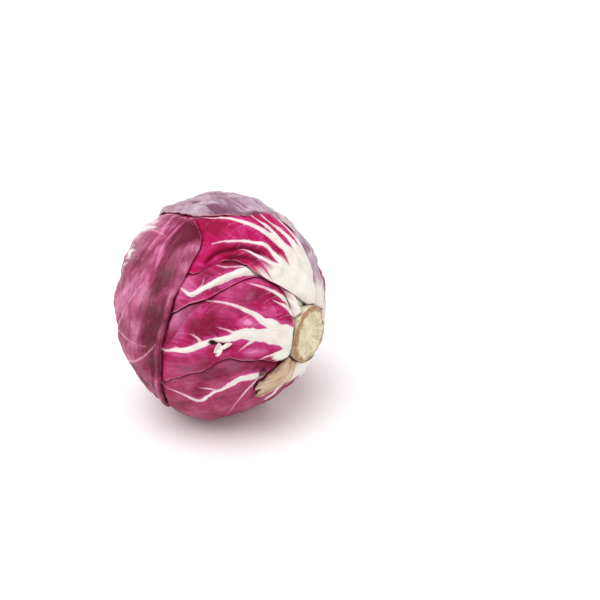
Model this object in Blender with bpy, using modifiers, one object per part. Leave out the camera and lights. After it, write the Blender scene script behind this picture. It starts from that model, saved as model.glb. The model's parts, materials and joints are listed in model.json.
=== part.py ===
# A whole head of radicchio lying on its side: leaves wrapped over one another round a conical stem.
# Metres, +Z up. The stem's cut end points along +X, and the lowest leaf is pressed flat where it rests.
# Every leaf is a grid bent over one rounded form. A leaf lies deeper by one layer for each leaf over it.
import math

import bpy
import numpy as np

# The rounded form, measured from the middle of the head
STEM_REACH = 0.055    # to where the leaves join the stem, along +X
TIP_REACH = 0.047     # to the closed tip, along -X
SIDE_REACH = 0.057    # across
REST_REACH = 0.054    # down to the flat that the head rests on
REST_BLEND = 0.0012   # height over which the round side runs out into the flat

# Outer leaves
LEAF_THICK = 0.0008
LEAF_GAP = 0.0006
LEAF_PITCH = LEAF_THICK + LEAF_GAP
BASE_ANGLE = 16.0     # where a leaf's foot starts, in degrees from the stem's axis
MARGIN_LEVEL = 8.0    # degrees past a leaf's margin that the leaf under it stays down
MARGIN_RISE = 18.0    # degrees over which it then comes up
OUTER_FACET = 9.0     # degrees to a facet, and all facets stay near this

# Inner leaves, on forms that shrink evenly towards the heart
INNER_COUNT = 16
INNER_DEPTH = 0.0140
INNER_THICK = 0.0010
INNER_SMALLEST = 0.30
INNER_GRID = (11, 7)
GOLDEN_ANGLE = 137.508

# Stem and heart
STEM_HALF_ANGLE = 15.0
STEM_END = 0.0560     # the cut face
STEM_COLLAR = 0.0520  # where the cone starts
HEART_SHARE = 0.25
HEART_CLEAR = 0.0005

# One outer leaf per line of three: its azimuth round the stem, its length in degrees from the stem's axis over
# the form, and its half-widths in degrees at even steps from foot to tip. Azimuth 0 is up and 90 is -Y.
# right is the side of growing azimuth. end, if given, is the far margin's angle from the left side to the right.
OUTER_LEAVES = [
    dict(name="outer_leaf_under", azimuth=190, length=150, colour=(0.36, 0.075, 0.17),
         right=[11, 24, 36, 42, 42, 36, 14],
         left=[11, 14, 29, 35, 32, 24, 12]),
    dict(name="outer_leaf_rear", azimuth=228, length=145, colour=(0.40, 0.10, 0.24),
         right=[11, 26, 40, 44, 42, 34, 14],
         left=[11, 24, 36, 40, 40, 30, 12]),
    dict(name="outer_leaf_top", azimuth=330, length=152, colour=(0.62, 0.45, 0.55),
         right=[9, 4, 3, 22, 40, 28, 10],
         left=[9, 24, 38, 46, 46, 36, 12]),
    dict(name="outer_leaf_tip", azimuth=265, length=280, colour=(0.42, 0.12, 0.26),
         right=[11, 34, 52, 62, 66, 70, 70],
         left=[11, 32, 50, 58, 62, 62, 60],
         end=[266, 271, 274, 276, 277, 278, 280, 282, 287, 290, 270]),
    dict(name="outer_leaf_crown", azimuth=352, length=135, colour=(0.55, 0.02, 0.17),
         right=[0, 18, 30, 50, 50, 36, 12],
         left=[14, 26, 36, 44, 46, 36, 12]),
    dict(name="outer_leaf_folded", azimuth=40, length=120, colour=(0.52, 0.05, 0.20),
         right=[-2, -14, -6, 14, 30, 34, 14],
         left=[10, 26, 34, 36, 34, 28, 10]),
    dict(name="outer_leaf_front", azimuth=75, length=128, colour=(0.46, 0.03, 0.16),
         right=[13, 10, 12, 23, 32, 30, 12],
         left=[22, 36, 44, 46, 44, 32, 12]),
    dict(name="outer_leaf_low", azimuth=115, length=125, colour=(0.44, 0.05, 0.17),
         right=[16, 26, 38, 44, 44, 34, 12],
         left=[14, 26, 34, 36, 36, 28, 12]),
    dict(name="outer_leaf_far", azimuth=300, length=120, colour=(0.46, 0.06, 0.20),
         right=[16, 34, 42, 42, 38, 28, 10],
         left=[16, 34, 42, 42, 38, 28, 10]),
    dict(name="outer_leaf_hidden", azimuth=155, length=120, colour=(0.38, 0.02, 0.12),
         right=[16, 34, 42, 42, 38, 28, 10],
         left=[16, 34, 42, 42, 38, 28, 10]),
]

# The foot of a leaf that was pulled off lies over the others
TORN_BASE = dict(name="torn_leaf_base", azimuth=133, length=42, colour=(0.62, 0.48, 0.36),
                 right=[5, 7, 7, 5], left=[5, 7, 6, 4])
TORN_THICK = 0.0014

INNER_COLOUR = (0.45, 0.01, 0.08)
IVORY = (0.86, 0.82, 0.70)
HEART_COLOUR = (0.70, 0.35, 0.35)


def clear_scene():
    for old in list(bpy.data.objects):
        bpy.data.objects.remove(old, do_unlink=True)


def new_collection(name):
    made = bpy.data.collections.new(name)
    bpy.context.scene.collection.children.link(made)
    return made


def plain_material(name, colour, roughness=0.45):
    made = bpy.data.materials.new(name)
    made.use_nodes = True
    shader = made.node_tree.nodes["Principled BSDF"]
    shader.inputs["Base Color"].default_value = (*colour, 1.0)
    shader.inputs["Roughness"].default_value = roughness
    shader.inputs["Metallic"].default_value = 0.0
    return made


def form_radius(direction):
    """Distance from the middle to the rounded form: two half ellipsoids, flattened underneath."""
    along = direction[..., 0]
    across = np.hypot(direction[..., 1], direction[..., 2])
    reach = np.where(along > 0, STEM_REACH, TIP_REACH)
    power = np.where(along > 0, 1.9, 2.1)
    radius = ((np.abs(along) / reach) ** power + (across / SIDE_REACH) ** power) ** (-1 / power)
    height = radius * direction[..., 2]
    over = height + REST_REACH
    eased = (over + REST_BLEND) ** 2 / (4 * REST_BLEND)
    lifted = np.where(over > REST_BLEND, over, np.where(over < -REST_BLEND, 0.0, eased))
    downward = direction[..., 2] < -0.5
    safe = np.where(downward, direction[..., 2], -1.0)
    return np.where(downward, (lifted - REST_REACH) / safe, radius)


def leaf_direction(azimuth, along, across):
    """Unit vectors at an angle along a leaf's midrib and an angle across it, all in degrees."""
    turn = math.radians(azimuth)
    midrib = np.array([0.0, -math.sin(turn), math.cos(turn)])
    side = np.array([0.0, -math.cos(turn), -math.sin(turn)])
    stem = np.array([1.0, 0.0, 0.0])
    s, w = np.radians(along)[..., None], np.radians(across)[..., None]
    return np.cos(w) * (np.cos(s) * stem + np.sin(s) * midrib) + np.sin(w) * side


def leaf_angles(azimuth, direction):
    """The two angles of leaf_direction, found back from unit vectors."""
    turn = math.radians(azimuth)
    up = -direction[..., 1] * math.sin(turn) + direction[..., 2] * math.cos(turn)
    side = -direction[..., 1] * math.cos(turn) - direction[..., 2] * math.sin(turn)
    along = np.degrees(np.arctan2(up, direction[..., 0]))
    return along % 360.0, np.degrees(np.arcsin(np.clip(side, -1, 1)))


def half_width(leaf, side, along):
    steps = np.linspace(BASE_ANGLE, leaf["length"], len(leaf[side]))
    return np.interp(along, steps, leaf[side])


def far_margin(leaf, across_share):
    """How far the leaf reaches at a share from -1, its left edge, to 1, its right edge."""
    if "end" in leaf:
        return np.interp(across_share, np.linspace(-1, 1, len(leaf["end"])), leaf["end"])
    return leaf["length"] - 8.0 * np.abs(across_share) ** 2


def cover(leaf, direction):
    """1 under the leaf, falling smoothly to 0 past its margin."""
    along, across = leaf_angles(leaf["azimuth"], direction)
    right, left = half_width(leaf, "right", along), half_width(leaf, "left", along)
    middle, half = (right - left) / 2, (right + left) / 2
    share = np.clip((across - middle) / half, -1, 1)
    shrink = np.cos(np.radians(across))
    past_side = np.maximum(across - right, -left - across)
    past_end = (along - far_margin(leaf, share)) * shrink
    past_foot = np.maximum(across - leaf["right"][0], -leaf["left"][0] - across)
    before_foot = (360.0 - along) * shrink
    past = np.minimum(np.hypot(np.maximum(past_side, 0), np.maximum(past_end, 0)),
                      np.hypot(np.maximum(past_foot, 0), before_foot))
    rise = np.clip((past - MARGIN_LEVEL) / MARGIN_RISE, 0, 1)
    return 1 - rise * rise * (3 - 2 * rise)


def foot_angle(leaf, across_share):
    """Where the foot starts, so that it clasps the stem in an arc instead of a straight line."""
    right, left = leaf["right"][0], leaf["left"][0]
    across = np.radians((right - left) / 2 + across_share * (right + left) / 2)
    return np.degrees(np.arccos(np.minimum(math.cos(math.radians(BASE_ANGLE)) / np.cos(across), 1.0)))


def facet_counts(leaf):
    widest = np.max(np.add(leaf["right"], leaf["left"]))
    rows = math.ceil((leaf["length"] - BASE_ANGLE) / OUTER_FACET)
    return rows, max(3, math.ceil(widest / OUTER_FACET))


def leaf_grid(leaf, steps):
    """Directions over the leaf, foot to tip by left to right."""
    u, v = np.meshgrid(np.linspace(0, 1, steps[0] + 1), np.linspace(-1, 1, steps[1] + 1), indexing="ij")
    foot = foot_angle(leaf, v)
    along = foot + u * (far_margin(leaf, v) - foot)
    right, left = half_width(leaf, "right", along), half_width(leaf, "left", along)
    across = (right - left) / 2 + v * (right + left) / 2
    return leaf_direction(leaf["azimuth"], along, across)


def bent_grid(name, points, thickness, colour, collection):
    """A grid primitive whose vertices are moved onto the leaf, made solid inwards."""
    rows, columns = points.shape[0] - 1, points.shape[1] - 1
    bpy.ops.mesh.primitive_grid_add(x_subdivisions=columns, y_subdivisions=rows, size=2)
    made = bpy.context.object
    made.name = made.data.name = name
    flat = np.array([vertex.co[:] for vertex in made.data.vertices])
    column = np.rint((flat[:, 0] + 1) / 2 * columns).astype(int)
    row = np.rint((flat[:, 1] + 1) / 2 * rows).astype(int)
    made.data.vertices.foreach_set("co", points[row, column].astype(np.float32).ravel())
    centre = points.reshape(-1, 3).mean(axis=0)
    made.data.update()
    if sum(face.normal.dot(face.center) for face in made.data.polygons) < 0:
        made.data.flip_normals()
    shell = made.modifiers.new("Thickness", "SOLIDIFY")
    shell.thickness = thickness
    shell.offset = -1.0
    made.data.materials.append(plain_material(name + "_skin", colour))
    for holder in list(made.users_collection):
        holder.objects.unlink(made)
    collection.objects.link(made)
    return made


def build_outer_leaves(collection):
    """Each leaf lies deeper by one layer where the leaves before it in the list cover it."""
    stack = [(TORN_BASE, TORN_THICK)] + [(leaf, LEAF_THICK) for leaf in OUTER_LEAVES]
    made = []
    for number, (leaf, thickness) in enumerate(stack):
        direction = leaf_grid(leaf, facet_counts(leaf))
        depth = np.zeros(direction.shape[:2])
        for above, above_thickness in stack[:number]:
            depth += (above_thickness + LEAF_GAP) * cover(above, direction)
        points = direction * (form_radius(direction) - depth)[..., None]
        made.append(bent_grid(leaf["name"], points, thickness, leaf["colour"], collection))
    return made


def inner_share(number):
    return 1.0 + (INNER_SMALLEST - 1.0) * number / (INNER_COUNT - 1)


def build_inner_leaves(collection):
    """Leaves at the golden angle, each on its own smaller form, so that none touches the next."""
    made = []
    for number in range(INNER_COUNT):
        leaf = dict(azimuth=(60 + GOLDEN_ANGLE * number) % 360, length=195,
                    right=[13, 40, 54, 56, 50, 22], left=[13, 40, 54, 56, 50, 22])
        direction = leaf_grid(leaf, INNER_GRID)
        radius = (form_radius(direction) - INNER_DEPTH) * inner_share(number)
        name = f"inner_leaf_{number + 1:02d}"
        made.append(bent_grid(name, direction * radius[..., None], INNER_THICK, INNER_COLOUR, collection))
    return made


def build_heart(collection):
    """The closed bud in the middle, a ball drawn onto a small copy of the form."""
    bpy.ops.mesh.primitive_uv_sphere_add(segments=20, ring_count=12, radius=1.0)
    made = bpy.context.object
    made.name = made.data.name = "heart_bud"
    points = np.array([vertex.co[:] for vertex in made.data.vertices])
    points /= np.linalg.norm(points, axis=1, keepdims=True)
    points *= ((form_radius(points) - INNER_DEPTH) * HEART_SHARE)[:, None]
    made.data.vertices.foreach_set("co", points.astype(np.float32).ravel())
    made.data.update()
    made.data.materials.append(plain_material("heart_bud_skin", HEART_COLOUR))
    for holder in list(made.users_collection):
        holder.objects.unlink(made)
    collection.objects.link(made)
    return made


def build_stem(collection):
    """The stem, turned about X: a cut face, a bevelled collar and a cone up to the heart."""
    slope = math.tan(math.radians(STEM_HALF_ANGLE))
    top = (STEM_REACH - INNER_DEPTH) * HEART_SHARE + HEART_CLEAR
    collar = STEM_COLLAR * slope
    profile = [(top, 0.0), (top, top * slope), (STEM_COLLAR, collar), (STEM_END - 0.0012, collar),
               (STEM_END, collar - 0.0012), (STEM_END, 0.0)]
    mesh = bpy.data.meshes.new("stem_core")
    mesh.from_pydata([(x, 0.0, r) for x, r in profile], [(i, i + 1) for i in range(len(profile) - 1)], [])
    made = bpy.data.objects.new("stem_core", mesh)
    collection.objects.link(made)
    turn = made.modifiers.new("Turn", "SCREW")
    turn.axis = "X"
    turn.steps = turn.render_steps = 28
    turn.use_merge_vertices = True
    turn.merge_threshold = 0.00001
    turn.use_normal_calculate = True
    mesh.materials.append(plain_material("stem_core_skin", IVORY, 0.5))
    return made


def stand_on_origin(objects):
    """Moves the meshes so that the origin is under the middle of their box, at the height of the flat."""
    bpy.context.view_layer.update()
    graph = bpy.context.evaluated_depsgraph_get()
    low, high = np.full(3, np.inf), np.full(3, -np.inf)
    for obj in objects:
        shape = obj.evaluated_get(graph).to_mesh()
        points = np.array([vertex.co[:] for vertex in shape.vertices])
        low, high = np.minimum(low, points.min(axis=0)), np.maximum(high, points.max(axis=0))
    shift = np.array([-(low[0] + high[0]) / 2, -(low[1] + high[1]) / 2, REST_REACH])
    for obj in objects:
        obj.location = shift
    print("box", np.round((high - low) * 1000, 1), "shift", np.round(shift * 1000, 2))


def main():
    clear_scene()
    head = new_collection("radicchio_head")
    made = build_outer_leaves(head)
    made += build_inner_leaves(head)
    made.append(build_heart(head))
    made.append(build_stem(head))
    stand_on_origin(made)


main()
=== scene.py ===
import json
import math

import bpy
import numpy as np
from mathutils import Matrix, Vector


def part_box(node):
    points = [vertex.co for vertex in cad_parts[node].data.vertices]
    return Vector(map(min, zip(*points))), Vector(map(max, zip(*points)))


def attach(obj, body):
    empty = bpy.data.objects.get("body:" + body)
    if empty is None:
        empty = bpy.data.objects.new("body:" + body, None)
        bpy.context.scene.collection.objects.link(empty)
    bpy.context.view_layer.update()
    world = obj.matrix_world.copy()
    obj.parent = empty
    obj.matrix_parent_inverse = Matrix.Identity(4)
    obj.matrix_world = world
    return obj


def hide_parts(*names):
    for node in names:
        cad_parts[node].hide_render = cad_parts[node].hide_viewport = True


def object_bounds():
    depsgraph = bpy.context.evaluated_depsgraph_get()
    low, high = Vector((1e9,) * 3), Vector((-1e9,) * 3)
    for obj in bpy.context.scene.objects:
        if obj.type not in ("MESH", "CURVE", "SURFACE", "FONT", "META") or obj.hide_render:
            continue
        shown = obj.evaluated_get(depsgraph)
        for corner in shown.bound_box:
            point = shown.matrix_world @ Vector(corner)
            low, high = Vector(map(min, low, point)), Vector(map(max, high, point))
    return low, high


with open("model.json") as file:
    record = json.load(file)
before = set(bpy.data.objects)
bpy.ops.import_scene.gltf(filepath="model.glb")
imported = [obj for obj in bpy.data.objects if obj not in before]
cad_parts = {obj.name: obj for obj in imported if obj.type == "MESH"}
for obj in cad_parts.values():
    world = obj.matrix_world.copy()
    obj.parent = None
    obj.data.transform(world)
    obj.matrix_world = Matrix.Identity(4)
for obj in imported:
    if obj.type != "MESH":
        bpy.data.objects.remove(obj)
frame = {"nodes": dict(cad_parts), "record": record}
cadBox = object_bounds()
print("frame loaded:", len(frame["nodes"]), "nodes")

# The rounded form that every leaf is bent over, measured from the CAD's boxes
lowCorner, highCorner = np.array(cadBox[0]), np.array(cadBox[1])
restPoint = np.array(frame["record"]["mounts"][0]["pos_m"])
form = {
    "side": (highCorner[1] - lowCorner[1]) / 2,
    "tip": restPoint[0] - lowCorner[0],
    "stem": highCorner[0] - restPoint[0] - 0.001,
    "blend": 0.0012,       # height over which the round side runs out into the flat
    "stemPower": 1.9,      # how square each half is: 2 is an ellipse
    "tipPower": 2.1,
    "lump": 0.0008,        # height of the low swellings of the whole head
    "lumpSize": 1.1,       # and their size, in shares of its radius
    # places where the head is pressed flatter: direction from its centre, reach in radians, depth
    "dents": [((-0.36, -0.67, -0.65), 0.42, 0.0030), ((-0.85, -0.53, 0.0), 0.45, 0.0034),
              ((-0.55, -0.68, -0.48), 0.40, 0.0022), ((0.17, 0.62, 0.76), 0.35, 0.0022)],
    "inset": 0.0012,       # room for the ribs and wrinkles that stand up from the form
}
form["rest"] = highCorner[2] - form["side"]
centre = restPoint + np.array([0.0, 0.0, form["rest"]])
footAngle = 16.0           # where the leaves start, in degrees from the stem's axis


# Sum of sine waves with random directions and nearly one wavelength: a smooth noise of about -1 to 1
def waves(points, size, seed, count=9):
    rng = np.random.default_rng(seed)
    aim = rng.normal(size=(count, points.shape[-1]))
    aim /= np.linalg.norm(aim, axis=1, keepdims=True)
    rate = 2 * math.pi / size * rng.uniform(0.7, 1.4, count)
    phase = rng.uniform(0, 2 * math.pi, count)
    return np.sin(points @ (aim * rate[:, None]).T + phase).sum(-1) / math.sqrt(count)


# Smooth step from 0 to 1
def ease(x):
    x = np.clip(x, 0, 1)
    return x * x * (3 - 2 * x)


# Bell curve: e to the minus square
def bell(x):
    return np.exp(-(x**2))


# A smooth curve through (place, value) pairs: cubic pieces with the slope of their neighbours
def through(pairs, x):
    place, value = np.array(pairs, float).T
    slope = np.gradient(value, place)
    i = np.clip(np.searchsorted(place, x) - 1, 0, len(place) - 2)
    step = place[i + 1] - place[i]
    t = np.clip((x - place[i]) / step, 0, 1)
    start = (2 * t**3 - 3 * t**2 + 1) * value[i] + (t**3 - 2 * t**2 + t) * step * slope[i]
    return start + (3 * t**2 - 2 * t**3) * value[i + 1] + (t**3 - t**2) * step * slope[i + 1]


# Evenly many points on a smooth line through a few given ones
def smoothLine(points, parts=8):
    points = np.array(points, float)
    gap = np.hypot(*np.diff(points[:, :2], axis=0).T)
    place = np.concatenate([[0], np.cumsum(gap)]) / gap.sum()
    share = np.linspace(0, 1, parts * (len(points) - 1) + 1)
    columns = [through(np.stack([place, column], 1), share) for column in points.T]
    return np.stack(columns, 1)


# Distance from each (along, across) to a line, the side it is on and how far down the line it is, 0 to 1
def nearLine(line, along, across):
    squeeze = np.cos(np.radians(across))
    best = np.full(along.shape, 1e9)
    side, down = np.zeros(along.shape), np.zeros(along.shape)
    last = len(line) - 1
    for k in range(last):
        (a0, c0), (a1, c1) = line[k, :2], line[k + 1, :2]
        dx, dy = (a1 - a0) * squeeze, c1 - c0
        px, py = (along - a0) * squeeze, across - c0
        t = np.clip((px * dx + py * dy) / (dx * dx + dy * dy + 1e-9), 0, 1)
        gap = np.hypot(px - t * dx, py - t * dy)
        closer = gap < best
        best = np.where(closer, gap, best)
        side = np.where(closer, np.sign(dx * py - dy * px), side)
        down = np.where(closer, (k + t) / last, down)
    return best, side, down


# Two half ellipsoids joined at the widest ring, with low lumps and pressed places, and flat where it rests
def formRadius(direction):
    along = direction[..., 0]
    ring = np.hypot(direction[..., 1], direction[..., 2])
    reach = np.where(along > 0, form["stem"], form["tip"])
    power = np.where(along > 0, form["stemPower"], form["tipPower"])
    radius = ((np.abs(along) / reach) ** power + (ring / form["side"]) ** power) ** (-1 / power)
    radius = radius - form["inset"] + form["lump"] * waves(direction, form["lumpSize"], 4)
    for toward, reach, depth in form["dents"]:
        apart = np.arccos(np.clip(direction @ (np.array(toward) / np.linalg.norm(toward)), -1, 1))
        radius = radius - depth * bell(apart / reach)
    down = direction[..., 2] < -0.5
    safe = np.where(down, direction[..., 2], -1.0)
    over = radius * direction[..., 2] + form["rest"]
    eased = (over + form["blend"]) ** 2 / (4 * form["blend"])
    lifted = np.where(over > form["blend"], over, np.where(over < -form["blend"], 0.0, eased))
    return np.where(down, (lifted - form["rest"]) / safe, radius)


# Unit vectors at an angle along a leaf's midrib and an angle across it
def leafDirection(azimuth, along, across):
    turn = math.radians(azimuth)
    stem = np.array([1.0, 0.0, 0.0])
    midrib = np.array([0.0, -math.sin(turn), math.cos(turn)])
    side = np.array([0.0, -math.cos(turn), -math.sin(turn)])
    s, w = np.radians(along)[..., None], np.radians(across)[..., None]
    return np.cos(w) * (np.cos(s) * stem + np.sin(s) * midrib) + np.sin(w) * side


# The same two angles found back from unit vectors
def leafAngles(azimuth, direction):
    turn = math.radians(azimuth)
    up = -direction[..., 1] * math.sin(turn) + direction[..., 2] * math.cos(turn)
    side = -direction[..., 1] * math.cos(turn) - direction[..., 2] * math.sin(turn)
    along = np.degrees(np.arctan2(up, direction[..., 0])) % 360.0
    return along, np.degrees(np.arcsin(np.clip(side, -1, 1)))


# A margin's half-width at each angle along, with small ruffles that grow away from the foot
def sideMargin(leaf, side, along):
    table = np.linspace(0, 360, 1441)
    ruffle = leaf["ruffle"] * np.clip((table - 22) / 30, 0, 1)
    seed = leaf["seed"] + (1 if side == "right" else 2)
    wobble = waves(table[:, None], 11, seed) + 0.5 * waves(table[:, None], 4.3, seed + 50)
    return np.interp(along, table, through(leaf[side], table) + ruffle * wobble)


# The far margin, by the share across from -1 at the left edge to 1 at the right edge
def farMargin(leaf, share):
    table = np.linspace(-1, 1, 401)
    wobble = waves(table[:, None], 0.35, leaf["seed"] + 3)
    wobble = wobble + 0.5 * waves(table[:, None], 0.12, leaf["seed"] + 4)
    if "end" in leaf:
        return np.interp(share, table, through(leaf["end"], table) + leaf["ruffle"] * 0.5 * wobble)
    return np.interp(share, table, leaf["length"] - 8 * table**2 + leaf["ruffle"] * wobble)


# Degrees past a leaf's margin, 0 under the leaf
def pastMargin(leaf, direction):
    along, across = leafAngles(leaf["azimuth"], direction)
    right, left = sideMargin(leaf, "right", along), sideMargin(leaf, "left", along)
    share = np.clip((across - (right - left) / 2) / ((right + left) / 2), -1, 1)
    squeeze = np.cos(np.radians(across))
    pastSide = np.maximum(across - right, -left - across)
    pastEnd = (along - farMargin(leaf, share)) * squeeze
    footRight, footLeft = leaf["right"][0][1], leaf["left"][0][1]
    pastFoot = np.maximum(across - footRight, -footLeft - across)
    return np.minimum(np.hypot(np.maximum(pastSide, 0), np.maximum(pastEnd, 0)),
                      np.hypot(np.maximum(pastFoot, 0), (360 - along) * squeeze))


# Where a foot starts, so that it clasps the stem in an arc
def footStart(leaf, share):
    right, left = leaf["right"][0][1], leaf["left"][0][1]
    across = np.radians((right - left) / 2 + share * (right + left) / 2)
    return np.degrees(np.arccos(np.minimum(math.cos(math.radians(footAngle)) / np.cos(across), 1.0)))


# A leaf's grid: u runs from its foot to its end and v from its left to its right margin. Each point has its
# angles, its direction, and the degrees to the nearest side margin and to the far one
def leafGrid(leaf, rows, columns):
    u, v = np.meshgrid(np.linspace(0, 1, rows), np.linspace(-1, 1, columns), indexing="ij")
    foot, end = footStart(leaf, v), farMargin(leaf, v)
    along = foot + u * (end - foot)
    right, left = sideMargin(leaf, "right", along), sideMargin(leaf, "left", along)
    across = (right - left) / 2 + v * (right + left) / 2
    direction = leafDirection(leaf["azimuth"], along, across)
    return u, v, along, across, direction, np.minimum(right - across, across + left), end - along


veins = {
    "lift": 0.6,           # height of a rib for its half-width
    "twigLift": 0.5,
    "twigSpacing": 6.0,    # degrees from twig to twig
    "twigReach": 8.0,      # and their length
    "twigsFrom": 0.9,      # half-width at its foot that a rib with twigs has
    "widest": 0.30,        # half-width of a twig at most
}


# Twigs leave a rib left and right, bend forward along it and thin out towards its end
def twigs(path, seed):
    rng = np.random.default_rng(seed)
    line = smoothLine(path)
    step = np.hypot(*np.diff(line[:, :2], axis=0).T)
    run = np.concatenate([[0], np.cumsum(step)])
    made, side, place = [], 1, veins["twigSpacing"] * rng.uniform(0.3, 1.1)
    while place < run[-1] - 2:
        k = int(np.searchsorted(run, place))
        heading = line[min(k + 1, len(line) - 1), :2] - line[k - 1, :2]
        heading /= np.hypot(*heading)
        normal = np.array([-heading[1], heading[0]]) * side
        half = min(veins["widest"], line[k, 2] * 0.3)
        length = veins["twigReach"] * rng.uniform(0.5, 1.3) * min(1.0, 0.4 + line[k, 2])
        start, turn = line[k, :2], rng.uniform(0.45, 0.8)
        points = [start, start + (heading + normal * turn) * length * 0.35,
                  start + (heading * 0.9 + normal * turn * 1.2) * length * 0.8,
                  start + (heading * 0.9 + normal * turn * 1.7) * length * 1.15]
        made.append([(*p, h) for p, h in zip(points, (half, half * 0.7, half * 0.4, 0.06))])
        place += veins["twigSpacing"] * rng.uniform(0.5, 1.5)
        side = side if rng.random() < 0.3 else -side
    return made


# A midrib with curved side ribs by turns, each reaching for the margin
def grownRibs(leaf):
    rng = np.random.default_rng(leaf["seed"] + 5)
    length, bend = leaf["length"] - 10, rng.uniform(-3, 3)
    places = enumerate(np.linspace(footAngle, length, 8))
    ribs = [[(a, bend * math.sin(a / 40), leaf["midrib"] * (1 - k / 7.5) ** 1.3 + 0.2) for k, a in places]]
    place, side = 26.0, 1
    while place < length - 14:
        width = float(sideMargin(leaf, "right" if side > 0 else "left", np.array([place + 18.0]))[0])
        start, share = bend * math.sin(place / 40), place / length
        reach = side * max(width, 8) * rng.uniform(0.75, 0.95)
        thick = (1.6 - 1.2 * share) * rng.uniform(0.7, 1.1)
        ribs.append([(place, start, thick), (place + 7, start + reach * 0.2, thick * 0.8),
                     (place + 16, start + reach * 0.55, thick * 0.5),
                     (place + 22 + rng.uniform(-3, 3), start + reach, 0.12)])
        place += rng.uniform(5.0, 10.0)
        side = -side
    return ribs


# How far inside the nearest rib each point is, that rib's half-width, and the height of the ribs. A rib is a
# path of (along, across, half-width) and its lift
def ribFields(ribs, along, across, wander):
    inside, size = np.full(along.shape, -9.0), np.full(along.shape, 0.1)
    height = np.zeros(along.shape)
    for path, lift in ribs:
        line = smoothLine(path)
        low, high = line[:, :2].min(axis=0) - 9, line[:, :2].max(axis=0) + 9
        near = (along > low[0]) & (along < high[0]) & (across > low[1]) & (across < high[1])
        if not near.any():
            continue
        gap, _, down = nearLine(line, along[near], across[near])
        half = np.interp(down * (len(line) - 1), np.arange(len(line)), line[:, 2])
        half = half * (1 + 0.13 * wander[near])
        deeper = half - gap > inside[near]
        inside[near] = np.where(deeper, half - gap, inside[near])
        size[near] = np.where(deeper, half, size[near])
        bump = np.clip(1 - (gap / (1.3 * half + 0.15)) ** 2, 0, 1) ** 1.5
        height[near] = np.maximum(height[near], lift * half / (1 + half / 3) * bump)
    return inside, size, height / 1000


# A grid of points as a mesh of quads, with a leaf map and one value per point for each named field
def gridMesh(name, points, fields, leafMap):
    rows, columns = points.shape[:2]
    index = np.arange(rows * columns).reshape(rows, columns)
    quads = np.stack([index[:-1, :-1], index[1:, :-1], index[1:, 1:], index[:-1, 1:]], -1)
    quads = quads.reshape(-1, 4)
    flat = points.reshape(-1, 3)
    a, b, c = flat[quads[:, 0]], flat[quads[:, 1]], flat[quads[:, 2]]
    if (np.cross(b - a, c - a) * (a - centre)).sum() < 0:
        quads = quads[:, ::-1]
    mesh = bpy.data.meshes.new(name)
    mesh.vertices.add(len(flat))
    mesh.vertices.foreach_set("co", flat.astype(np.float32).ravel())
    mesh.loops.add(quads.size)
    mesh.loops.foreach_set("vertex_index", quads.astype(np.int32).ravel())
    mesh.polygons.add(len(quads))
    mesh.polygons.foreach_set("loop_start", np.arange(0, quads.size, 4, dtype=np.int32))
    mesh.update(calc_edges=True)
    mesh.polygons.foreach_set("use_smooth", np.ones(len(quads), bool))
    uv = mesh.uv_layers.new(name="LeafMap")
    uv.data.foreach_set("uv", leafMap.reshape(-1, 2)[quads.ravel()].astype(np.float32).ravel())
    for fieldName, values in fields.items():
        layer = mesh.attributes.new(fieldName, "FLOAT", "POINT")
        values = np.broadcast_to(values, (rows, columns)).astype(np.float32)
        layer.data.foreach_set("value", values.ravel())
    mesh.validate()
    made = bpy.data.objects.new(name, mesh)
    bpy.context.scene.collection.objects.link(made)
    return made


# Material, wall thickness inwards from the grid, body, and the CAD node that the piece stands for, which is
# hidden
def finishPiece(piece, skin, node=None, thickness=None):
    piece.data.materials.append(skin)
    if thickness:
        shell = piece.modifiers.new("Thickness", "SOLIDIFY")
        shell.thickness = thickness
        shell.offset = -1.0
        shell.use_even_offset = False
    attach(piece, "root")
    if node:
        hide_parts(node)


# A tone as it looks, each part from 0 to 1, made linear
def tone(red, green, blue):
    shade = np.array([red, green, blue], float)
    return (*np.where(shade <= 0.04045, shade / 12.92, ((shade + 0.055) / 1.055) ** 2.4), 1.0)


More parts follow.
